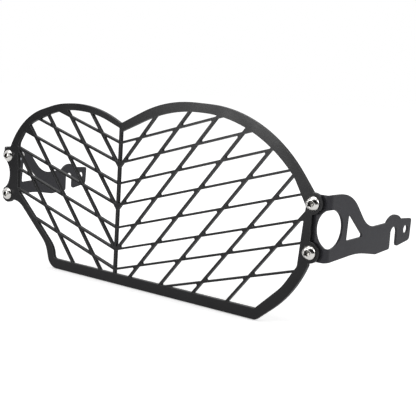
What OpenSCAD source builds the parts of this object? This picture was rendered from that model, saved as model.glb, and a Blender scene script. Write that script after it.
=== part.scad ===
/* [Plate] */
// Thickness of the grille plate
plate_t = 3; // [2:0.5:4]
// Height of the notch between the lobes, above the bottom edge
notch_z = 128.4; // [125:0.2:131]
// Rise of the right lobe above the notch
right_rise = 21.7; // [18:0.1:25]
// Rise of the left lobe above the notch
left_rise = 14.2; // [12:0.2:17]
// Bottom edge, from the centre bar to its right corner
bottom_right = 139.8; // [135:0.2:144]
// Bottom edge, from the centre bar to its left corner
bottom_left = 75.7; // [71:0.1:79]
// Width of the rim along the top of the right lobe
rim_right = 7.1; // [6:0.1:9]
// Width of the rim along the top of the left lobe
rim_left = 5.4; // [4.6:0.2:7]
// Width of the rim along the bottom
rim_bottom = 8.3; // [6:0.1:10]
// Radius of the ear round each right bolt
ear_right_r = 7.5; // [7:0.1:9]
// Radius of the ear round each left bolt
ear_left_r = 7.5; // [7:0.1:9]

/* [Lattice] */
// Width of a lattice bar
bar_w = 1.8; // [1.4:0.1:2.6]
// Width of the upright bar in the middle
centre_bar_w = 2.2; // [1.6:0.1:4]
// Rise of the shallow bars, in degrees
shallow_angle = 15.95; // [15:0.05:17]
// Rise of the steep bars, in degrees
steep_angle = 50.3; // [49:0.1:52]
// Radius left in the corners of the windows
window_r = 0.8; // [0.5:0.1:1.2]

/* [Bolts] */
// Nominal diameter of the bolts
bolt_d = 6; // [5:0.5:6]
// Length of a bolt under its head
bolt_l = 16; // [15:1:20]
// Diameter of the button head
head_d = 10.5; // [9.5:0.1:11]
// Height of the button head
head_h = 3.3; // [2.8:0.1:3.6]
// Width across the flats of the hexagon socket
socket_af = 4; // [3:0.5:4]
// Depth of the hexagon socket
socket_depth = 2; // [1.5:0.1:2.4]
// Distance between the two bolts of one bracket
bolt_pitch = 33.5; // [32:0.1:36]
// Clearance hole for a bolt
bolt_hole_d = 6.5; // [6.2:0.1:6.8]
// Distance of the right bolts from the centre bar
right_bolt_x = 179.7; // [178:0.1:181]
// Height of the middle of the right bolt pair
right_bolt_z = 72.2; // [70:0.1:74]
// Distance of the left bolts from the centre bar
left_bolt_x = 133; // [132:0.1:136]
// Height of the middle of the left bolt pair
left_bolt_z = 72.8; // [72:0.1:76]

/* [Washers and nuts] */
// Outside diameter of a washer
washer_d = 12; // [11:0.5:13]
// Thickness of a washer
washer_t = 1.6; // [1:0.1:2]
// Hole in a washer
washer_hole_d = 6.4; // [6.2:0.1:6.8]
// Width across the flats of a lock nut
nut_af = 10; // [9:0.5:11]
// Height of a lock nut
nut_h = 6; // [5.5:0.1:7]
// Height of the round collar that holds the nylon ring
collar_h = 1.9; // [1.5:0.1:2.4]
// Height of the nylon ring
ring_h = 1.3; // [1:0.1:1.4]

/* [Brackets] */
// Thickness of the bracket sheet
bracket_t = 2; // [1.5:0.25:2.5]
// Inside radius of the bend
bend_r = 2; // [1.5:0.25:3]
// Outward lean of the arms, in degrees off square
splay = 4; // [2:0.5:6]
// Distance from the bolt line to the outer corner of the bend
bolt_to_arm = 12; // [11:0.1:13]
// Distance from the bolt line to the hidden edge of the flange
flange_edge = 5.4; // [5:0.1:6]
// Metal above and below the two bolts of a bracket
bolt_margin = 6.25; // [6:0.25:7.5]
// Radius of the big hole through the bend
big_hole_r = 13.4; // [12.5:0.1:14]
// Reach of the big hole into the flange, from the corner of the bend
big_hole_reach = 10; // [9:0.1:10.4]
// Distance of the slot from the corner of the bend
slot_y = 85.3; // [83:0.1:87]
// Width of the open slot
slot_w = 9; // [8:0.1:9.6]
// Depth of the slot's round end below the bolt pair's middle
slot_drop = 9; // [8:0.1:10]
// Width of metal over the slot's round end
hump_w = 9; // [8.5:0.1:10]
// Length of the end tab behind the slot
tab_l = 19.9; // [18:0.1:22]
// Diameter of the hole in the end tab
tab_hole_d = 6.6; // [6:0.1:7]
// Distance of the tab hole from the tab's end
tab_hole_in = 7.4; // [7:0.1:8.5]
// Depth of the tab hole below the bolt pair's middle
tab_hole_drop = 7.8; // [7:0.1:9]

/* [Hidden] */

// Overshoot of a cutting shape past the face that it cuts
cut = 1;
// Largest gap between a drawn arc and the true one
arc_error = 0.03;
// Radial room between a bolt's plain shank and a nut
thread_gap = 0.05;
// Facets of a bore and of the fasteners
fine = 64;

// Outline geometry: corners are [x, z, radius], and the radius rounds the corner
function toward(a, b) = (b - a) / norm(b - a);
function arc_steps(r, sweep) = max(2, ceil(abs(sweep) / (2 * acos(1 - arc_error / max(r, 0.2)))));
function turn(v, w) = atan2(v[0] * w[1] - v[1] * w[0], v[0] * w[0] + v[1] * w[1]);
function arc(c, from, sweep, r) = let (n = arc_steps(r, sweep))
    [for (k = [0:n]) c + r * [cos(from + sweep * k / n), sin(from + sweep * k / n)]];
function flat(p) = [p[0], p[1]];
function cyclic(list, i) = list[(i + len(list)) % len(list)];
function half_angle(a, b, c) = acos(toward(b, a) * toward(b, c)) / 2;
function round_corner(a, b, c, r) =
    let (u = toward(b, a), v = toward(b, c), half = acos(u * v) / 2,
        centre = b + (u + v) / norm(u + v) * r / sin(half),
        p = b + u * r / tan(half) - centre, q = b + v * r / tan(half) - centre)
    arc(centre, atan2(p[1], p[0]), turn(p, q), r);

// Rounds every corner; where two arcs would meet on a short edge, both are made smaller to fit it
function rounded(pts) = let (n = len(pts), p = [for (q = pts) flat(q)],
    cot = [for (i = [0:n - 1]) 1 / tan(half_angle(cyclic(p, i - 1), p[i], cyclic(p, i + 1)))],
    taken = [for (i = [0:n - 1]) pts[i][2] * cot[i]],
    room = [for (i = [0:n - 1]) norm(cyclic(p, i + 1) - p[i]) / max(taken[i] + cyclic(taken, i + 1), 0.001)])
    [for (i = [0:n - 1]) let (r = pts[i][2] * min(1, room[i], cyclic(room, i - 1)))
        each r <= 0 ? [p[i]] : round_corner(cyclic(p, i - 1), p[i], cyclic(p, i + 1), r)];

// Outer edge of the plate, clockwise from the notch, without its bolt ears
right_top = notch_z + right_rise;
left_top = notch_z + left_rise;
outer_edge = [
    [0, notch_z, 4],
    [right_rise / tan(25.2), right_top, 115],
    [right_bolt_x - 41.5, right_top - 2.2, 111],
    [right_bolt_x - 0.6, right_bolt_z + 24.4, 0],
    [right_bolt_x, right_bolt_z, 0],
    [right_bolt_x - 0.4, right_bolt_z - 26.2, 0],
    [right_bolt_x - 9.2, right_bolt_z - 47.7, 87],
    [bottom_right, 0, 4],
    [-bottom_left, 0, 11],
    [-bottom_left - 5.8, 19.1, 21],
    [-left_bolt_x + 14.1, left_bolt_z - 20.5, 18],
    [-left_bolt_x, left_bolt_z - 22.4, 0],
    [-left_bolt_x, left_bolt_z, 0],
    [-left_bolt_x, left_bolt_z + 21.6, 0],
    [-left_bolt_x + 15.7, left_top - 17, 64],
    [-left_bolt_x + 61, left_top - 3.5, 83],
    [-left_rise / tan(24.8), left_top, 110]];

// Opening inside the rim, right of the centre bar and left of it
right_side_x = right_bolt_x - 6.4;
right_opening = [
    [centre_bar_w / 2, notch_z - 6.6, 0],
    [right_rise / tan(25.2) + 3.5, right_top - rim_right, 127],
    [right_bolt_x - 50.7, right_top - rim_right - 1.8, 112],
    [right_bolt_x - 16.2, right_bolt_z + 32.4, 20],
    [right_side_x + 1.1, right_bolt_z + 14.1, 2.5],
    [right_side_x, right_bolt_z + 3.8, 12],
    [right_side_x - 2.5, right_bolt_z - 27.7, 4],
    [right_bolt_x - 19.9, right_bolt_z - 44.2, 43],
    [bottom_right - 1.6, rim_bottom, 1.5],
    [centre_bar_w / 2, rim_bottom, 0]];
left_opening = [
    [-centre_bar_w / 2, notch_z - 3.8, 0],
    [-left_rise / tan(24.8) + 3.5, left_top - rim_left - 3.3, 96],
    [-left_bolt_x + 65.9, left_top - rim_left - 1.5, 99],
    [-left_bolt_x + 23.5, left_top - 23.9, 31],
    [-left_bolt_x + 12.3, left_bolt_z + 28.9, 8],
    [-left_bolt_x + 13, left_bolt_z - 12.1, 8],
    [-bottom_left + 3.4, 18, 18],
    [-bottom_left + 5, rim_bottom, 3],
    [-centre_bar_w / 2, rim_bottom, 0]];

// Heights at which the bars leave the centre bar, or would if they reached it
shallow_z = [-7.6, 11.6, 27.6, 45.3, 63.5, 80.7, 97.1, 113];
steep_z = [93.8, 60.1, 26.9, -11.3, -50.1, -89.6, -128];
beyond = 400;

// One window: between two shallow bars and two steep bars
function crossing(l, s) = let (x = (l - s) / (tan(steep_angle) - tan(shallow_angle)))
    [x, l + x * tan(shallow_angle), window_r];
function window(low, high, left, right) =
    let (dl = bar_w / 2 / cos(shallow_angle), ds = bar_w / 2 / cos(steep_angle))
    [crossing(low + dl, left - ds), crossing(low + dl, right + ds),
        crossing(high - dl, right + ds), crossing(high - dl, left - ds)];
function spans(w, reach) = min([for (p = w) p[0]]) < reach && max([for (p = w) p[0]]) > 0
    && min([for (p = w) p[1]]) < right_top && max([for (p = w) p[1]]) > 0;
// Windows of which only a sliver would clear the rim, as [row, column], are left solid
right_slivers = [[3, 7], [7, 4]];
left_slivers = [[5, 4], [7, 2]];
function windows(rows, reach, slivers = []) =
    let (cols = concat([beyond], steep_z, [-beyond]))
    [for (i = [0:len(rows) - 2]) for (j = [0:len(cols) - 2])
        let (w = window(rows[i], rows[i + 1], cols[j], cols[j + 1]))
        if (spans(w, reach) && len([for (s = slivers) if (s == [i, j]) s]) == 0) w];
right_windows = windows(concat([-beyond], shallow_z, [beyond]), right_bolt_x, right_slivers);
left_windows = windows(concat([-beyond], [for (i = [1:len(shallow_z) - 1]) shallow_z[i]], [beyond]),
    left_bolt_x, left_slivers);

// Bolt seats: side, height of the pair's middle and half the pitch
half_pitch = bolt_pitch / 2;
scallop_r = 16;
scallop_in_right = 0.4;
scallop_in_left = 2.6;

// Bracket geometry, from the outer corner of the bend and the bolt pair's middle
outer_r = bend_r + bracket_t;
bend_angle = 90 - splay;
setback = outer_r * tan(bend_angle / 2);
bend_length = (bend_r + 0.44 * bracket_t) * bend_angle * PI / 180;
hole_tail = big_hole_reach - setback + bend_length;
bend_slices = 6;
flange_r = 5;
half_h = half_pitch + bolt_margin;

// The bracket seats on the back of the plate, and the arm leaves from its outer corner
corner_x = right_bolt_x + bolt_to_arm;
arm_l = slot_y + slot_w / 2 + tab_l;
tab_hole_y = arm_l - tab_hole_in;
origin = [corner_x + tab_hole_y * sin(splay), plate_t + tab_hole_y * cos(splay),
    right_bolt_z - tab_hole_drop];

// Stack behind the plate
washer_y = plate_t + bracket_t;
nut_y = washer_y + washer_t;
collar_r = nut_af / 2 - 0.4;
ring_y = nut_y + nut_h - 0.4 - ring_h;

// A flat shape in X and Z, standing between two depths
module slab(y, t) {
    translate([0, y + t, 0]) rotate([90, 0, 0]) linear_extrude(t) children();
}

module bore_y(x, y, z, d, t) {
    translate([x, y + t, z]) rotate([90, 0, 0]) cylinder(d = d, h = t, $fn = fine);
}

module ears(x, z, r) {
    for (s = [-1, 1]) bore_y(x, 0, z + s * half_pitch, 2 * r, plate_t);
}

module openings_2d(edge, cells) {
    intersection() {
        polygon(rounded(edge));
        union() for (w = cells) polygon(rounded(w));
    }
}

module grille() {
    color("#26262a") difference() {
        union() {
            slab(0, plate_t) polygon(rounded(outer_edge));
            ears(right_bolt_x, right_bolt_z, ear_right_r);
            ears(-left_bolt_x, left_bolt_z, ear_left_r);
        }
        slab(-cut, plate_t + 2 * cut) openings_2d(right_opening, right_windows);
        slab(-cut, plate_t + 2 * cut) mirror([1, 0, 0])
            openings_2d([for (p = left_opening) [-p[0], p[1], p[2]]], left_windows);
        for (s = [-1, 1]) {
            bore_y(right_bolt_x, -cut, right_bolt_z + s * half_pitch, bolt_hole_d, plate_t + 2 * cut);
            bore_y(-left_bolt_x, -cut, left_bolt_z + s * half_pitch, bolt_hole_d, plate_t + 2 * cut);
        }
        bore_y(right_bolt_x - scallop_in_right + scallop_r, -cut, right_bolt_z,
            2 * scallop_r, plate_t + 2 * cut);
        bore_y(-left_bolt_x + scallop_in_left - scallop_r, -cut, left_bolt_z,
            2 * scallop_r, plate_t + 2 * cut);
    }
}

// Side view of the arm, [distance from the bend, height], with its open slot
slot_l = slot_y - slot_w / 2;
slot_r = slot_y + slot_w / 2;
arm_edge = [
    [setback, half_h + 0.5, 0],
    [0.306 * slot_y, half_h + 0.6, 28],
    [0.576 * slot_y, -2.6, 22],
    [slot_y - 8, -0.8, 5],
    [slot_y, 3.5, 0],
    [slot_y + 6, 1, 0],
    [arm_l, 0.2, 2],
    [arm_l - 0.8, -half_h + 6.8, 3.5],
    [slot_r, -half_h + 3.2, 2],
    [slot_r, -slot_drop, 0],
    [slot_l, -slot_drop, 0],
    [slot_l, -half_h + 2.2, 1.5],
    [0.725 * slot_y, -half_h + 0.1, 5],
    [0.441 * slot_y, -half_h + 3.7, 80],
    [setback, -half_h + 0.4, 0]];
triangle_edge = [
    [0.28 * slot_y, 10.2, 1.4],
    [0.52 * slot_y, -half_h + 14.8, 1.4],
    [0.264 * slot_y, -half_h + 13.6, 1.4]];

// Half height of the big hole at a distance from the line where the arm begins
function hole_half(s) = s >= 0 ? sqrt(max(0, pow(big_hole_r, 2) - s * s))
    : big_hole_r * sqrt(max(0, 1 - pow(s / hole_tail, 2)));

module flange() {
    difference() {
        slab(0, bracket_t) polygon(rounded([
            [-setback, half_h, 0],
            [-bolt_to_arm - flange_edge, half_h, flange_r],
            [-bolt_to_arm - flange_edge, -half_h, flange_r],
            [-setback, -half_h, 0]]));
        for (s = [-1, 1])
            bore_y(-bolt_to_arm, -cut, s * half_pitch, bolt_hole_d, bracket_t + 2 * cut);
        slab(-cut, bracket_t + 2 * cut) polygon(flange_hole());
    }
}

// The big hole's share of the flange: half an oval, open to the bend
function flange_hole() =
    let (n = 24, span = hole_tail - bend_length,
        top = [for (k = [0:n]) let (s = -hole_tail + span * (1 - cos(90 * k / n)))
            [-setback - bend_length - s, hole_half(s)]])
    concat([for (p = top) [-p[0] - 2 * setback, p[1]]],
        [for (k = [n:-1:1]) [-top[k][0] - 2 * setback, -top[k][1]]]);

// The bend is turned about its own centre, and the hole is cut through it slice by slice
module bend() {
    translate([-setback, outer_r, 0]) difference() {
        rotate([0, 0, -90]) rotate_extrude(angle = bend_angle, $fn = 96)
            translate([bend_r, -half_h]) square([bracket_t, 2 * half_h]);
        for (k = [0:bend_slices - 1]) bend_cut(k);
    }
}

module bend_cut(k) {
    step = bend_angle / bend_slices;
    wide = (outer_r + cut) * tan(step / 2);
    h0 = hole_half(-bend_length * (1 - k / bend_slices));
    h1 = hole_half(-bend_length * (1 - (k + 1) / bend_slices));
    rotate([0, 0, -90 + step * (k + 0.5)]) rotate([90, 0, 90])
        linear_extrude(outer_r + cut)
            polygon([[-wide, -h0], [wide, -h1], [wide, h1], [-wide, h0]]);
}

module arm() {
    rotate([0, 0, -splay]) difference() {
        union() {
            arm_slab() polygon(rounded(arm_edge));
            arm_bore(slot_y, -slot_drop, slot_w + 2 * hump_w, 0);
        }
        arm_bore(setback, 0, 2 * big_hole_r, cut);
        arm_bore(slot_y, -slot_drop, slot_w, cut);
        arm_bore(tab_hole_y, -tab_hole_drop, tab_hole_d, cut);
        translate([cut, 0, 0]) arm_slab(2 * cut) polygon(rounded(triangle_edge));
        translate([-bracket_t - cut, slot_l, -half_h])
            cube([bracket_t + 2 * cut, slot_w, half_h - slot_drop]);
    }
}

// A flat shape in Y and Z, as thick as the sheet, with its outer face at X = 0
module arm_slab(extra = 0) {
    translate([-bracket_t - extra / 2, 0, 0]) rotate([90, 0, 90])
        linear_extrude(bracket_t + extra) children();
}

module arm_bore(y, z, d, past) {
    translate([-bracket_t - past, y, z]) rotate([0, 90, 0])
        cylinder(d = d, h = bracket_t + 2 * past, $fn = fine);
}

module bracket() {
    color("#2b2b30") union() {
        flange();
        bend();
        arm();
    }
}

// Places a right or left bracket on the back of the plate
module on_side(right) {
    if (right) translate([corner_x, plate_t, right_bolt_z]) children();
    else translate([-left_bolt_x - bolt_to_arm, plate_t, left_bolt_z]) mirror([1, 0, 0]) children();
}

// Places a fastener with its axis along Y, head end first
module at_bolt(right, upper) {
    translate([right ? right_bolt_x : -left_bolt_x, 0,
        (right ? right_bolt_z : left_bolt_z) + (upper ? half_pitch : -half_pitch)])
        rotate([-90, 0, 0]) children();
}

// Button head: a low dome with a small flat top
dome_flat = head_d * 0.26;
dome_edge = 0.4;
dome_drop = (pow(head_d / 2, 2) - pow(dome_flat, 2) + pow(dome_edge, 2) - pow(head_h, 2))
    / (2 * (dome_edge - head_h));
dome_r = sqrt(pow(head_d / 2, 2) + pow(dome_edge - dome_drop, 2));
dome_from = atan2(dome_edge - dome_drop, head_d / 2);
dome_to = atan2(head_h - dome_drop, dome_flat);

module bolt() {
    tip = bolt_d / 2 - 0.7;
    profile = concat(
        [[0, bolt_l], [tip, bolt_l], [bolt_d / 2, bolt_l - 0.7], [bolt_d / 2, 0], [head_d / 2, 0]],
        [for (k = [0:10]) let (a = dome_from + (dome_to - dome_from) * k / 10)
            [dome_r * cos(a), -dome_drop - dome_r * sin(a)]],
        [[0, -head_h]]);
    color("silver") difference() {
        rotate_extrude($fn = fine) polygon(profile);
        translate([0, 0, -head_h - cut]) cylinder(d = socket_af / cos(30), h = socket_depth + cut, $fn = 6);
    }
}

module washer() {
    color("silver") translate([0, 0, washer_y]) difference() {
        cylinder(d = washer_d, h = washer_t, $fn = fine);
        translate([0, 0, -cut]) cylinder(d = washer_hole_d, h = washer_t + 2 * cut, $fn = fine);
    }
}

// Lock nut: a chamfered hexagon with a round collar that is rolled in over the nylon ring
module nut() {
    corner_r = nut_af / 2 / cos(30);
    hex_h = nut_h - collar_h;
    color("gainsboro") translate([0, 0, nut_y]) difference() {
        union() {
            intersection() {
                cylinder(r = corner_r, h = hex_h, $fn = 6);
                rotate_extrude($fn = fine) polygon([[0, 0], [nut_af / 2 - 0.1, 0], [corner_r, 0.5],
                    [corner_r, hex_h - 0.5], [nut_af / 2 - 0.1, hex_h], [0, hex_h]]);
            }
            rotate_extrude($fn = fine) polygon([[0, hex_h / 2], [collar_r, hex_h / 2],
                [collar_r, nut_h - 0.8], [collar_r - 0.25, nut_h - 0.25],
                [collar_r - 0.8, nut_h], [0, nut_h]]);
        }
        translate([0, 0, -cut]) cylinder(r = bolt_d / 2 + thread_gap, h = nut_h + 2 * cut, $fn = fine);
        translate([0, 0, nut_h - 0.4 - ring_h]) cylinder(r = ring_outer, h = ring_h, $fn = fine);
    }
}

ring_outer = collar_r - 0.8;

module lock_ring() {
    color("royalblue") translate([0, 0, ring_y]) difference() {
        cylinder(r = ring_outer, h = ring_h, $fn = fine);
        translate([0, 0, -cut]) cylinder(r = bolt_d / 2, h = ring_h + 2 * cut, $fn = fine);
    }
}

// The whole guard stands on the hole in its right end tab
module placed() {
    translate(-origin) children();
}

placed() grille();
placed() on_side(true) bracket();  // bracket_right
placed() on_side(false) bracket();  // bracket_left
placed() at_bolt(true, true) bolt();  // bolt_upper_right
placed() at_bolt(true, false) bolt();  // bolt_lower_right
placed() at_bolt(false, true) bolt();  // bolt_upper_left
placed() at_bolt(false, false) bolt();  // bolt_lower_left
placed() at_bolt(true, true) washer();  // washer_upper_right
placed() at_bolt(true, false) washer();  // washer_lower_right
placed() at_bolt(false, true) washer();  // washer_upper_left
placed() at_bolt(false, false) washer();  // washer_lower_left
placed() at_bolt(true, true) nut();  // nut_upper_right
placed() at_bolt(true, false) nut();  // nut_lower_right
placed() at_bolt(false, true) nut();  // nut_upper_left
placed() at_bolt(false, false) nut();  // nut_lower_left
placed() at_bolt(true, true) lock_ring();  // lock_ring_upper_right
placed() at_bolt(true, false) lock_ring();  // lock_ring_lower_right
placed() at_bolt(false, true) lock_ring();  // lock_ring_upper_left
placed() at_bolt(false, false) lock_ring();  // lock_ring_lower_left
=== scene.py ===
"""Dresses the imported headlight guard: coatings, detailed fasteners, light, floor and camera."""
import math

import bpy
from mathutils import Matrix, Quaternion, Vector


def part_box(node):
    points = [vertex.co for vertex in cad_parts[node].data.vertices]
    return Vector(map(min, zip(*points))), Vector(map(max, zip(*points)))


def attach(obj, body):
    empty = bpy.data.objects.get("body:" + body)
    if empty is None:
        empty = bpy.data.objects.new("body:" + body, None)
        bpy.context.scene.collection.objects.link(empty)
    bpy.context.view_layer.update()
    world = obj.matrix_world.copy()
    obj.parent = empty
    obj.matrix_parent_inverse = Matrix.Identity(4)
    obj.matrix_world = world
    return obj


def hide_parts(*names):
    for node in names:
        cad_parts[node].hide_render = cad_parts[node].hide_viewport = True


# The part's own sizes are written in millimetres, the studio's in metres
MM = 0.001
WHITE = (1, 1, 1, 1)
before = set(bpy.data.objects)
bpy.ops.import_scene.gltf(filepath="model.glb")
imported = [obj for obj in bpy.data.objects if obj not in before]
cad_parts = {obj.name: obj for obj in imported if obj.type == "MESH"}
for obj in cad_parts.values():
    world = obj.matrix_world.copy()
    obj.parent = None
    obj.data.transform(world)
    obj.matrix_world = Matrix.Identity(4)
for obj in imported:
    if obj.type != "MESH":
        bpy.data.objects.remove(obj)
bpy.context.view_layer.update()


# Selection and modifiers

def deselect():
    bpy.ops.object.select_all(action="DESELECT")


def select_only(piece):
    deselect()
    piece.select_set(True)
    bpy.context.view_layer.objects.active = piece


def apply_modifier(piece, kind, **settings):
    modifier = piece.modifiers.new(kind.lower(), kind)
    for label, value in settings.items():
        setattr(modifier, label, value)
    select_only(piece)
    bpy.ops.object.modifier_apply(modifier=modifier.name)


# Camera at the photograph's angle

CAMERA_ANGLES = (37.766, 8.262, 3.488)
CAMERA_PLACE = (0.290997, -0.619108, 0.103860)
CAMERA_LENS, SENSOR_WIDTH = 77.88, 36


def add_camera():
    turn, lift, roll = (math.radians(angle) for angle in CAMERA_ANGLES)
    ahead = Vector((-math.sin(turn) * math.cos(lift), math.cos(turn) * math.cos(lift),
                    -math.sin(lift)))
    level = Vector((math.cos(turn), math.sin(turn), 0))
    above = level.cross(ahead)
    right = level * math.cos(roll) + above * math.sin(roll)
    top = above * math.cos(roll) - level * math.sin(roll)
    facing = Matrix((right, top, -ahead)).transposed()
    bpy.ops.object.camera_add(location=CAMERA_PLACE, rotation=facing.to_euler())
    camera = bpy.context.object
    camera.data.sensor_width = SENSOR_WIDTH
    camera.data.lens = CAMERA_LENS
    camera.data.clip_start = 0.01
    camera.data.clip_end = 20
    bpy.context.scene.camera = camera


# Node groups that several materials share

def new_group(name, inputs, outputs):
    group = bpy.data.node_groups.new(name, "ShaderNodeTree")
    for label, kind, value in inputs:
        socket = group.interface.new_socket(name=label, in_out="INPUT", socket_type=kind)
        socket.default_value = value
    for label, kind in outputs:
        group.interface.new_socket(name=label, in_out="OUTPUT", socket_type=kind)
    return group, group.nodes.new("NodeGroupInput"), group.nodes.new("NodeGroupOutput")


def feed(tree, socket, value):
    """Sets the socket to a constant, or links it to another node's output."""
    if isinstance(value, (int, float, tuple)):
        socket.default_value = value
    else:
        tree.links.new(value, socket)


def noise(tree, place, scale, detail=2.0, roughness=0.5):
    node = tree.nodes.new("ShaderNodeTexNoise")
    feed(tree, node.inputs["Vector"], place)
    feed(tree, node.inputs["Scale"], scale)
    node.inputs["Detail"].default_value = detail
    node.inputs["Roughness"].default_value = roughness
    return node.outputs["Fac"]


def spread(tree, value, low, high, to_low=0.0, to_high=1.0):
    node = tree.nodes.new("ShaderNodeMapRange")
    node.inputs["From Min"].default_value = low
    node.inputs["From Max"].default_value = high
    node.inputs["To Min"].default_value = to_low
    node.inputs["To Max"].default_value = to_high
    feed(tree, node.inputs["Value"], value)
    return node.outputs["Result"]


def calc(tree, operation, a, b):
    node = tree.nodes.new("ShaderNodeMath")
    node.operation = operation
    feed(tree, node.inputs[0], a)
    feed(tree, node.inputs[1], b)
    return node.outputs[0]


def blend_colours(tree, share, a, b):
    node = tree.nodes.new("ShaderNodeMix")
    node.data_type = "RGBA"
    feed(tree, node.inputs["Factor"], share)
    feed(tree, node.inputs["A"], a)
    feed(tree, node.inputs["B"], b)
    return node.outputs["Result"]


SURFACE_OUTPUTS = [("Colour", "NodeSocketColor"), ("Roughness", "NodeSocketFloat"),
                   ("Height", "NodeSocketFloat")]


def powder_texture():
    """The skin of baked powder: a soft orange peel, a fine grain and a few lighter specks."""
    inputs = [("Colour", "NodeSocketColor", (0.02, 0.02, 0.022, 1)),
              ("Speck colour", "NodeSocketColor", (0.06, 0.06, 0.064, 1)),
              ("Peel scale", "NodeSocketFloat", 650.0),
              ("Grain scale", "NodeSocketFloat", 3200.0),
              ("Roughness", "NodeSocketFloat", 0.45)]
    group, given, out = new_group("Powder texture", inputs, SURFACE_OUTPUTS)
    place = group.nodes.new("ShaderNodeTexCoord").outputs["Object"]
    peel = noise(group, place, given.outputs["Peel scale"])
    grain = noise(group, place, given.outputs["Grain scale"], 1.0)
    cloud = noise(group, place, 45.0, 3.0, 0.6)
    specks = spread(group, grain, 0.62, 0.74)
    tint = blend_colours(group, specks, given.outputs["Colour"], given.outputs["Speck colour"])
    sheen = spread(group, cloud, 0.3, 0.7, -0.05, 0.05)
    rough = calc(group, "ADD", given.outputs["Roughness"], sheen)
    height = calc(group, "ADD", peel, calc(group, "MULTIPLY", grain, 0.35))
    group.links.new(tint, out.inputs["Colour"])
    group.links.new(rough, out.inputs["Roughness"])
    group.links.new(height, out.inputs["Height"])
    return group


def metal_surface():
    """Bare or plated steel: drawing marks along one way, faint blotches and a little haze."""
    inputs = [("Colour", "NodeSocketColor", (0.6, 0.6, 0.61, 1)),
              ("Haze colour", "NodeSocketColor", (0.4, 0.4, 0.42, 1)),
              ("Mark scale", "NodeSocketFloat", 2500.0),
              ("Roughness", "NodeSocketFloat", 0.2),
              ("Haze", "NodeSocketFloat", 0.3)]
    group, given, out = new_group("Metal surface", inputs, SURFACE_OUTPUTS)
    place = group.nodes.new("ShaderNodeTexCoord").outputs["Object"]
    along = group.nodes.new("ShaderNodeMapping")
    along.inputs["Scale"].default_value = (1.0, 0.12, 1.0)
    group.links.new(place, along.inputs["Vector"])
    marks = noise(group, along.outputs["Vector"], given.outputs["Mark scale"], 3.0, 0.6)
    blotch = noise(group, place, 420.0, 3.0, 0.55)
    haze = calc(group, "MULTIPLY", spread(group, blotch, 0.4, 0.7), given.outputs["Haze"])
    tint = blend_colours(group, haze, given.outputs["Colour"], given.outputs["Haze colour"])
    rough = calc(group, "ADD", given.outputs["Roughness"], calc(group, "MULTIPLY", haze, 0.25))
    rough = calc(group, "ADD", rough, spread(group, marks, 0.3, 0.7, -0.03, 0.03))
    group.links.new(tint, out.inputs["Colour"])
    group.links.new(rough, out.inputs["Roughness"])
    group.links.new(marks, out.inputs["Height"])
    return group


def finish_of(name, group, bump_distance, values, **shader_values):
    """A material from a shared surface group, with the group's and the shader's own values."""
    material = bpy.data.materials.new(name)
    material.use_nodes = True
    tree = material.node_tree
    shader = tree.nodes["Principled BSDF"]
    for label, value in shader_values.items():
        shader.inputs[label.replace("_", " ")].default_value = value
    surface = tree.nodes.new("ShaderNodeGroup")
    surface.node_tree = group
    for label, value in values.items():
        surface.inputs[label].default_value = value
    bump = tree.nodes.new("ShaderNodeBump")
    bump.inputs["Distance"].default_value = bump_distance
    bump.inputs["Strength"].default_value = 1.0
    tree.links.new(surface.outputs["Height"], bump.inputs["Height"])
    tree.links.new(bump.outputs["Normal"], shader.inputs["Normal"])
    tree.links.new(surface.outputs["Colour"], shader.inputs["Base Color"])
    tree.links.new(surface.outputs["Roughness"], shader.inputs["Roughness"])
    return material


powder = powder_texture()
metal = metal_surface()
# One satin black powder coat in two copies: the grille's colour is painted darker, as painted
# shade, and the brackets' lighter, as painted light, for how the lamps fall on each.
grille_coat_painted_darker = finish_of(
    "Satin black powder coat", powder, 0.00003,
    {"Colour": (0.0075, 0.0075, 0.0083, 1), "Speck colour": (0.019, 0.019, 0.021, 1),
     "Roughness": 0.34}, Specular_IOR_Level=0.15)
# The same coat as the grille's, painted lighter as painted light on the brackets.
bracket_coat_painted_lighter = finish_of(
    "Satin black powder coat painted lighter on the brackets", powder, 0.00003,
    {"Colour": (0.028, 0.028, 0.0325, 1), "Speck colour": (0.05, 0.05, 0.056, 1),
     "Roughness": 0.42}, Specular_IOR_Level=0.18)
# Coat drawn thin over the rounded edges: really lighter and shinier there, and its lighter colour
# is also a painted highlight along each edge.
thin_coat_and_edge_highlight = finish_of(
    "Powder coat drawn thin over an edge", powder, 0.00002,
    {"Colour": (0.022, 0.022, 0.0235, 1), "Speck colour": (0.11, 0.11, 0.112, 1),
     "Roughness": 0.34, "Peel scale": 900.0}, Specular_IOR_Level=0.35)
stainless = finish_of(
    "Polished stainless steel", metal, 0.000004,
    {"Colour": (0.66, 0.65, 0.63, 1), "Haze colour": (0.47, 0.46, 0.44, 1),
     "Roughness": 0.14, "Haze": 0.3}, Metallic=1.0)
stamped = finish_of(
    "Stamped stainless steel", metal, 0.000008,
    {"Colour": (0.58, 0.58, 0.59, 1), "Haze colour": (0.42, 0.42, 0.43, 1),
     "Roughness": 0.28, "Haze": 0.5}, Metallic=1.0)
zinc = finish_of(
    "Bright zinc plate", metal, 0.000006,
    {"Colour": (0.58, 0.6, 0.64, 1), "Haze colour": (0.4, 0.42, 0.46, 1),
     "Roughness": 0.26, "Haze": 0.6}, Metallic=1.0)
# The socket's faces are painted dark, as painted shade in the recess; the broach marks and the
# roughness are the steel's own.
broached_painted_dark = finish_of(
    "Broached steel in the socket", metal, 0.00001,
    {"Colour": (0.2, 0.195, 0.18, 1), "Haze colour": (0.1, 0.097, 0.09, 1),
     "Mark scale": 4000.0, "Roughness": 0.34, "Haze": 0.7}, Metallic=1.0)
nylon = finish_of(
    "Blue nylon", powder, 0.00001,
    {"Colour": (0.02, 0.09, 0.32, 1), "Speck colour": (0.04, 0.12, 0.38, 1),
     "Peel scale": 1500.0, "Roughness": 0.4})


# The M6 button head screw, turned ring by ring

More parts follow.
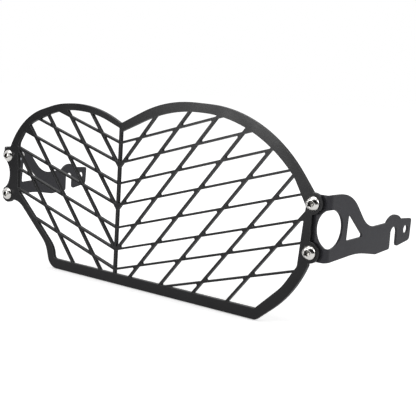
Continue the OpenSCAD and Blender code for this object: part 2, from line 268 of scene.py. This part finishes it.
HEAD_RADIUS, HEAD_HEIGHT, HEAD_FLAT, HEAD_EDGE = 5.25, 3.3, 2.73, 0.4
SHANK_RADIUS, SHANK_LENGTH = 2.95, 16.0
HEAD_TOP = SHANK_LENGTH + HEAD_HEIGHT
SOCKET_CORNER, SOCKET_DEPTH = 2.309, 2.0
THREAD_ROOT, THREAD_CREST, THREAD_PITCH = 2.42, 2.96, 1.0
THREAD_START, THREAD_TURNS = 0.7, 14
RIDGE_HALF_WIDTH = 0.46 * THREAD_PITCH
ROUND_SIDES, TURN_SLICES, DOME_STEPS = 96, 32, 12
SMOOTH_ANGLE = math.radians(32)
BOLT_TURNS = {"upper_right": 0.35, "lower_right": 1.1, "upper_left": 0.8, "lower_left": 0.15}


def turned(name, stations, sides):
    """Extrudes a ring from station to station, each a radius and a height, and closes both ends."""
    deselect()
    radius, height = stations[0]
    bpy.ops.mesh.primitive_circle_add(vertices=sides, radius=radius * MM,
                                      location=(0, 0, height * MM))
    piece = bpy.context.object
    piece.name = name
    bpy.ops.object.transform_apply()
    bpy.ops.object.mode_set(mode="EDIT")
    bpy.ops.mesh.select_all(action="SELECT")
    for next_radius, next_height in stations[1:]:
        rise = (next_height - height) * MM
        bpy.ops.mesh.extrude_region_move(TRANSFORM_OT_translate={"value": (0, 0, rise)})
        grow = next_radius / radius
        bpy.ops.transform.resize(value=(grow, grow, 1), center_override=(0, 0, next_height * MM))
        radius, height = next_radius, next_height
    bpy.ops.mesh.select_all(action="DESELECT")
    bpy.ops.mesh.select_non_manifold()
    bpy.ops.mesh.edge_face_add()
    bpy.ops.mesh.select_all(action="SELECT")
    bpy.ops.mesh.normals_make_consistent(inside=False)
    bpy.ops.object.mode_set(mode="OBJECT")
    return piece


def cut_away(piece, tool, finish):
    """Cuts the tool out of the piece; the cut faces take the tool's own finish."""
    tool.data.materials.append(finish)
    apply_modifier(piece, "BOOLEAN", object=tool, operation="DIFFERENCE", solver="EXACT",
                   material_mode="TRANSFER")
    bpy.data.objects.remove(tool)


def thread_ridge():
    """A three-sided ridge that winds up round the shank, closed at both ends."""
    deselect()
    bpy.ops.mesh.primitive_circle_add(vertices=3, radius=0.5 * MM)
    ridge = bpy.context.object
    bpy.ops.object.mode_set(mode="EDIT")
    bpy.ops.mesh.select_all(action="SELECT")
    bpy.ops.transform.rotate(value=math.pi / 2, orient_axis="X", center_override=(0, 0, 0))
    bpy.ops.object.mode_set(mode="OBJECT")
    corners = ((THREAD_CREST, 0.0), (THREAD_ROOT, -RIDGE_HALF_WIDTH),
               (THREAD_ROOT, RIDGE_HALF_WIDTH))
    for vertex, (radius, height) in zip(ridge.data.vertices, corners):
        vertex.co = (radius * MM, 0, (THREAD_START + height) * MM)
    apply_modifier(ridge, "SCREW", axis="Z", screw_offset=THREAD_PITCH * MM,
                   iterations=THREAD_TURNS, steps=TURN_SLICES, render_steps=TURN_SLICES,
                   use_merge_vertices=False)
    bpy.ops.object.mode_set(mode="EDIT")
    bpy.ops.mesh.select_all(action="DESELECT")
    bpy.ops.mesh.select_non_manifold()
    bpy.ops.mesh.fill()
    bpy.ops.mesh.select_all(action="SELECT")
    bpy.ops.mesh.normals_make_consistent(inside=False)
    bpy.ops.object.mode_set(mode="OBJECT")
    return ridge


def dome():
    """Stations of the button head's arc, from its edge up to its flat top."""
    drop = ((HEAD_RADIUS ** 2 - HEAD_FLAT ** 2 + HEAD_EDGE ** 2 - HEAD_HEIGHT ** 2)
            / (2 * (HEAD_EDGE - HEAD_HEIGHT)))
    radius = math.hypot(HEAD_RADIUS, HEAD_EDGE - drop)
    low = math.atan2(HEAD_EDGE - drop, HEAD_RADIUS)
    high = math.atan2(HEAD_HEIGHT - drop, HEAD_FLAT)
    angles = [low + (high - low) * step / DOME_STEPS for step in range(DOME_STEPS + 1)]
    return [(radius * math.cos(angle), SHANK_LENGTH + drop + radius * math.sin(angle))
            for angle in angles]


def button_bolt():
    """The screw, its tip at the origin and its head upwards: turned, broached and threaded."""
    tip = [(1.9, 0), (THREAD_ROOT, 0.45)]
    plain_shank = [(THREAD_ROOT, 15.2), (SHANK_RADIUS, 15.7), (SHANK_RADIUS, SHANK_LENGTH)]
    under_head = [(5.0, SHANK_LENGTH), (HEAD_RADIUS, SHANK_LENGTH + 0.2)]
    flat_top = [(HEAD_FLAT - 0.12, HEAD_TOP)]
    body = turned("bolt_master", tip + plain_shank + under_head + dome() + flat_top, ROUND_SIDES)
    body.data.materials.append(stainless)
    # The hex socket and the drilled cone below it take the broached steel, painted dark as shade in
    # the recess.
    deselect()
    bpy.ops.mesh.primitive_cylinder_add(vertices=6, radius=SOCKET_CORNER * MM,
                                        depth=(2 * SOCKET_DEPTH + 0.1) * MM,
                                        location=(0, 0, (HEAD_TOP + 0.05) * MM))
    cut_away(body, bpy.context.object, broached_painted_dark)
    drill = turned("drill", [(0.05, 16.55), (1.75, 17.35), (1.75, 18.0)], ROUND_SIDES // 2)
    cut_away(body, drill, broached_painted_dark)
    lead_in = turned("lead_in", [(2.1, 18.95), (2.62, 19.32), (2.7, 19.6)], ROUND_SIDES)
    cut_away(body, lead_in, stainless)
    ridge = thread_ridge()
    select_only(ridge)
    body.select_set(True)
    bpy.context.view_layer.objects.active = body
    bpy.ops.object.join()
    bpy.ops.object.shade_smooth_by_angle(angle=SMOOTH_ANGLE)
    return body


def set_in_place(master, node, turn):
    """Copies the master onto a CAD fastener's axis, head to the front, placed in its own mesh."""
    low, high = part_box(node)
    piece = master.copy()
    piece.data = master.data.copy()
    piece.name = node + "_detail"
    bpy.context.scene.collection.objects.link(piece)
    spin = Matrix.Rotation(turn, 4, "Z")
    to_front = Matrix.Rotation(math.radians(90), 4, "X")
    place = Matrix.Translation(((low.x + high.x) / 2, high.y, (low.z + high.z) / 2))
    piece.data.transform(place @ to_front @ spin)
    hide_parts(node)
    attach(piece, "root")


# Sheets, washers, nuts and rings: copies of the CAD pieces with their edges broken

# For each bracket, where its flange and arm would meet without the bend, its middle height, and
# the side that its arm is on
BRACKETS = {"bracket_right": (-7.136, 7.8, 1), "bracket_left": (-343.836, 8.4, -1)}
FLANGE_FRONT = -102.051
HALF_HEIGHT = 23.0
SPLAY = math.radians(4)
BEND_TURN = math.radians(86)
BEND_SETBACK, BEND_INNER, BEND_OUTER = 3.73, 2.0, 4.0
ARM_RISE_ABOVE, ARM_RISE_BELOW = 0.5, 0.4
HOLE_SLICE = 0.24
# The arm's lower edge beside its slot: the slot's wall, the way out from it, the edge's height
# at the wall, its slope and the corner's radius
SLOT_CORNERS = ((89.8, 1, -19.8, 0.1885, 2.0), (80.8, -1, -20.8, 0.1108, 1.5))
TIP_REACH = 5.0
SAME_POINT = 0.000001
FLAT_ANGLE, SHARP_ANGLE = math.radians(0.3), math.radians(38)
EDGE_STEPS = 3
COAT_EDGE, WASHER_EDGE, NUT_EDGE, RING_EDGE = 0.22, 0.2, 0.06, 0.1


def even_bend(piece, bracket):
    """Runs the bend's long edges smoothly into the arm's, and evens the slices of its hole."""
    corner_x, middle, side = bracket
    centre_x, centre_y = corner_x - side * BEND_SETBACK, FLANGE_FRONT + BEND_OUTER
    in_hole = []
    for vertex in piece.data.vertices:
        x, y, z = vertex.co / MM
        turn = math.atan2(side * (x - centre_x), centre_y - y)
        reach = math.hypot(x - centre_x, y - centre_y)
        in_turn = -0.005 < turn < BEND_TURN + 0.005
        if not (in_turn and BEND_INNER - 0.1 < reach < BEND_OUTER + 0.1):
            continue
        share = min(max(turn / BEND_TURN, 0.0), 1.0)
        eased = share * share * (3 - 2 * share)
        if abs(z - middle - HALF_HEIGHT) < 0.01:
            vertex.co.z += ARM_RISE_ABOVE * eased * MM
        elif abs(z - middle + HALF_HEIGHT) < 0.01:
            vertex.co.z += ARM_RISE_BELOW * eased * MM
        elif abs(z - middle) < HALF_HEIGHT - 1:
            in_hole.append(vertex.index)
    bpy.ops.object.mode_set(mode="EDIT")
    bpy.ops.mesh.select_mode(type="VERT")
    bpy.ops.mesh.select_all(action="DESELECT")
    bpy.ops.object.mode_set(mode="OBJECT")
    for index in in_hole:
        piece.data.vertices[index].select = True
    bpy.ops.object.mode_set(mode="EDIT")
    bpy.ops.mesh.remove_doubles(threshold=HOLE_SLICE * MM)
    bpy.ops.object.mode_set(mode="OBJECT")


def trim_slot_corners(piece, bracket):
    """Lifts the two tips under the round boss onto the arm's lower edge, rounded at the slot."""
    corner_x, middle, side = bracket
    for vertex in piece.data.vertices:
        x, y, z = vertex.co / MM
        along = (side * (x - corner_x) * math.sin(SPLAY)
                 + (y - FLANGE_FRONT) * math.cos(SPLAY))
        for wall, way, height, slope, corner in SLOT_CORNERS:
            out = way * (along - wall)
            if not -0.02 < out < TIP_REACH:
                continue
            edge = height + slope * (along - wall)
            if out < corner:
                centre = height + slope * way * corner + corner * math.hypot(1, slope)
                dip = math.sqrt(max(0.0, corner ** 2 - (corner - out) ** 2))
                edge = max(edge, centre - dip)
            if z - middle < edge - 0.005:
                vertex.co.z = (edge + middle) * MM


def broken_edges(node, faces, edges, width):
    """Copies a CAD piece, clears its triangulation and rounds every sharp edge."""
    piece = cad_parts[node].copy()
    piece.data = piece.data.copy()
    piece.name = node + "_finished"
    bpy.context.scene.collection.objects.link(piece)
    piece.hide_render = False
    piece.data.materials.clear()
    piece.data.materials.append(faces)
    piece.data.materials.append(edges)
    select_only(piece)
    if node in BRACKETS:
        even_bend(piece, BRACKETS[node])
    bpy.ops.object.mode_set(mode="EDIT")
    bpy.ops.mesh.select_all(action="SELECT")
    bpy.ops.mesh.remove_doubles(threshold=SAME_POINT)
    bpy.ops.mesh.dissolve_limited(angle_limit=FLAT_ANGLE)
    bpy.ops.object.mode_set(mode="OBJECT")
    if node in BRACKETS:
        trim_slot_corners(piece, BRACKETS[node])
    # The rounded edges take the second finish; on the sheets that is the thin coat with its painted
    # edge highlight.
    apply_modifier(piece, "BEVEL", width=width * MM, segments=EDGE_STEPS, limit_method="ANGLE",
                   angle_limit=SHARP_ANGLE, loop_slide=False, use_clamp_overlap=False, material=1)
    bpy.ops.object.shade_smooth()
    apply_modifier(piece, "WEIGHTED_NORMAL", weight=100)
    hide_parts(node)
    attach(piece, "root")


add_camera()
bolt = button_bolt()
for corner, turn in BOLT_TURNS.items():
    set_in_place(bolt, "bolt_" + corner, turn)
    broken_edges("washer_" + corner, stamped, stamped, WASHER_EDGE)
    broken_edges("nut_" + corner, zinc, zinc, NUT_EDGE)
    broken_edges("lock_ring_" + corner, nylon, nylon, RING_EDGE)
bpy.data.objects.remove(bolt)
broken_edges("grille", grille_coat_painted_darker, thin_coat_and_edge_highlight, COAT_EDGE)
broken_edges("bracket_right", bracket_coat_painted_lighter, thin_coat_and_edge_highlight, COAT_EDGE)
broken_edges("bracket_left", bracket_coat_painted_lighter, thin_coat_and_edge_highlight, COAT_EDGE)


# Floor, light and backdrop

FLOOR_SIZE, FLOOR_CENTRE = 12, (-0.06, -0.1, -0.0650)
# How brightly the camera sees the floor near the part and further away, and the distances
GLOW_NEAR, GLOW_FAR, NEAR, FAR = 0.4, 0.72, 0.2, 0.7
FLOOR_IN_REFLECTIONS = 0.2
WORLD_LIGHT, WORLD_SEEN = 0.4, 1.0
CARD_PLACE, CARD_AIM = Vector((0.50, -0.41, 0.28)), Vector((-0.02, -0.11, 0.01))
CARD_SIZE, CARD_TURN = (0.62, 1.5, 1), math.radians(-40)
SWEEP_LEFT, SWEEP_RIGHT, SWEEP_NEAR, SWEEP_FAR = -3.4, 0.2, -0.36, -1.8
SWEEP_FLOOR, SWEEP_TOP = -0.064, 1.1


def dull_paint(name, colour, roughness):
    """A plain paint without gloss, with its tree and shader for what is added to it."""
    material = bpy.data.materials.new(name)
    material.use_nodes = True
    shader = material.node_tree.nodes["Principled BSDF"]
    shader.inputs["Base Color"].default_value = colour
    shader.inputs["Roughness"].default_value = roughness
    shader.inputs["Specular IOR Level"].default_value = 0.0
    return material, material.node_tree, shader


def add_floor():
    """Pale floor: the camera and reflections see it glow, and it keeps the part's shadow."""
    deselect()
    bpy.ops.mesh.primitive_plane_add(size=FLOOR_SIZE, location=FLOOR_CENTRE)
    floor = bpy.context.object
    floor.name = "floor"
    material, tree, shader = dull_paint("Pale floor", (0.9, 0.9, 0.9, 1), 0.9)
    rays = tree.nodes.new("ShaderNodeLightPath")
    place = tree.nodes.new("ShaderNodeTexCoord").outputs["Object"]
    away = tree.nodes.new("ShaderNodeVectorMath")
    away.operation = "LENGTH"
    tree.links.new(place, away.inputs[0])
    glow = spread(tree, away.outputs["Value"], NEAR, FAR, GLOW_NEAR, GLOW_FAR)
    seen = calc(tree, "MULTIPLY", rays.outputs["Is Camera Ray"], glow)
    mirrored = calc(tree, "MULTIPLY", rays.outputs["Is Glossy Ray"], FLOOR_IN_REFLECTIONS)
    shader.inputs["Emission Color"].default_value = WHITE
    tree.links.new(calc(tree, "ADD", seen, mirrored), shader.inputs["Emission Strength"])
    floor.data.materials.append(material)


def add_world():
    """White behind the part for camera, glossy and transmission rays; softer as a light."""
    world = bpy.data.worlds.new("Pale studio")
    bpy.context.scene.world = world
    world.use_nodes = True
    tree = world.node_tree
    rays = tree.nodes.new("ShaderNodeLightPath")
    seen = calc(tree, "MAXIMUM", rays.outputs["Is Camera Ray"], rays.outputs["Is Glossy Ray"])
    seen = calc(tree, "MAXIMUM", seen, rays.outputs["Is Transmission Ray"])
    background = tree.nodes["Background"]
    background.inputs["Color"].default_value = WHITE
    strength = spread(tree, seen, 0.0, 1.0, WORLD_LIGHT, WORLD_SEEN)
    tree.links.new(strength, background.inputs["Strength"])


def add_softbox(name, place, aim, size, power):
    deselect()
    facing = (Vector(aim) - Vector(place)).to_track_quat("-Z", "Y").to_euler()
    bpy.ops.object.light_add(type="AREA", location=place, rotation=facing)
    lamp = bpy.context.object
    lamp.name = name
    lamp.data.shape = "RECTANGLE"
    lamp.data.size, lamp.data.size_y = size
    lamp.data.energy = power


def reflected_only(stand, name):
    """Paints a stage piece dull black and lets only reflections see it."""
    stand.name = name
    black = (0.012, 0.012, 0.012, 1)
    stand.data.materials.append(dull_paint(name.capitalize().replace("_", " "), black, 1.0)[0])
    for ray in ("camera", "diffuse", "transmission", "volume_scatter", "shadow"):
        setattr(stand, "visible_" + ray, False)


def add_dark_card():
    """A dark card at the upper right draws the dark streak across each polished bolt head."""
    deselect()
    facing = (CARD_AIM - CARD_PLACE).to_track_quat("Z", "Y") @ Quaternion((0, 0, 1), CARD_TURN)
    bpy.ops.mesh.primitive_plane_add(size=1, location=CARD_PLACE, rotation=facing.to_euler())
    bpy.context.object.scale = CARD_SIZE
    reflected_only(bpy.context.object, "dark_card")


def add_dark_sweep():
    """The studio's unlit side, behind and left of the camera, keeps the grille's face black."""
    deselect()
    bpy.ops.mesh.primitive_plane_add(size=1, location=(0, 0, 0))
    sweep = bpy.context.object
    corners = ((SWEEP_LEFT, SWEEP_FAR), (SWEEP_RIGHT, SWEEP_FAR),
               (SWEEP_LEFT, SWEEP_NEAR), (SWEEP_RIGHT, SWEEP_NEAR))
    for vertex, (x, y) in zip(sweep.data.vertices, corners):
        vertex.co = (x, y, SWEEP_FLOOR)
    bpy.ops.object.mode_set(mode="EDIT")
    bpy.ops.mesh.select_mode(type="EDGE")
    bpy.ops.mesh.select_all(action="DESELECT")
    bpy.ops.object.mode_set(mode="OBJECT")
    for edge in sweep.data.edges:
        edge.select = all(sweep.data.vertices[v].co.y < SWEEP_FAR + 0.01 for v in edge.vertices)
    bpy.ops.object.mode_set(mode="EDIT")
    rise = SWEEP_TOP - SWEEP_FLOOR
    bpy.ops.mesh.extrude_region_move(TRANSFORM_OT_translate={"value": (0, 0, rise)})
    bpy.ops.object.mode_set(mode="OBJECT")
    reflected_only(sweep, "dark_sweep")


add_floor()
add_dark_card()
add_dark_sweep()
add_world()
add_softbox("top light", (-0.1, -0.25, 1.2), (-0.15, -0.1, 0.0), (1.2, 0.9), 6)
add_softbox("left front light", (-0.66, -1.04, 0.15), (-0.1, -0.1, 0.08), (0.36, 0.36), 6.5)
add_softbox("right light", (1.2, 0.1, 0.6), (-0.1, -0.05, 0.0), (0.9, 0.9), 8)
bpy.context.scene.view_settings.view_transform = "Standard"
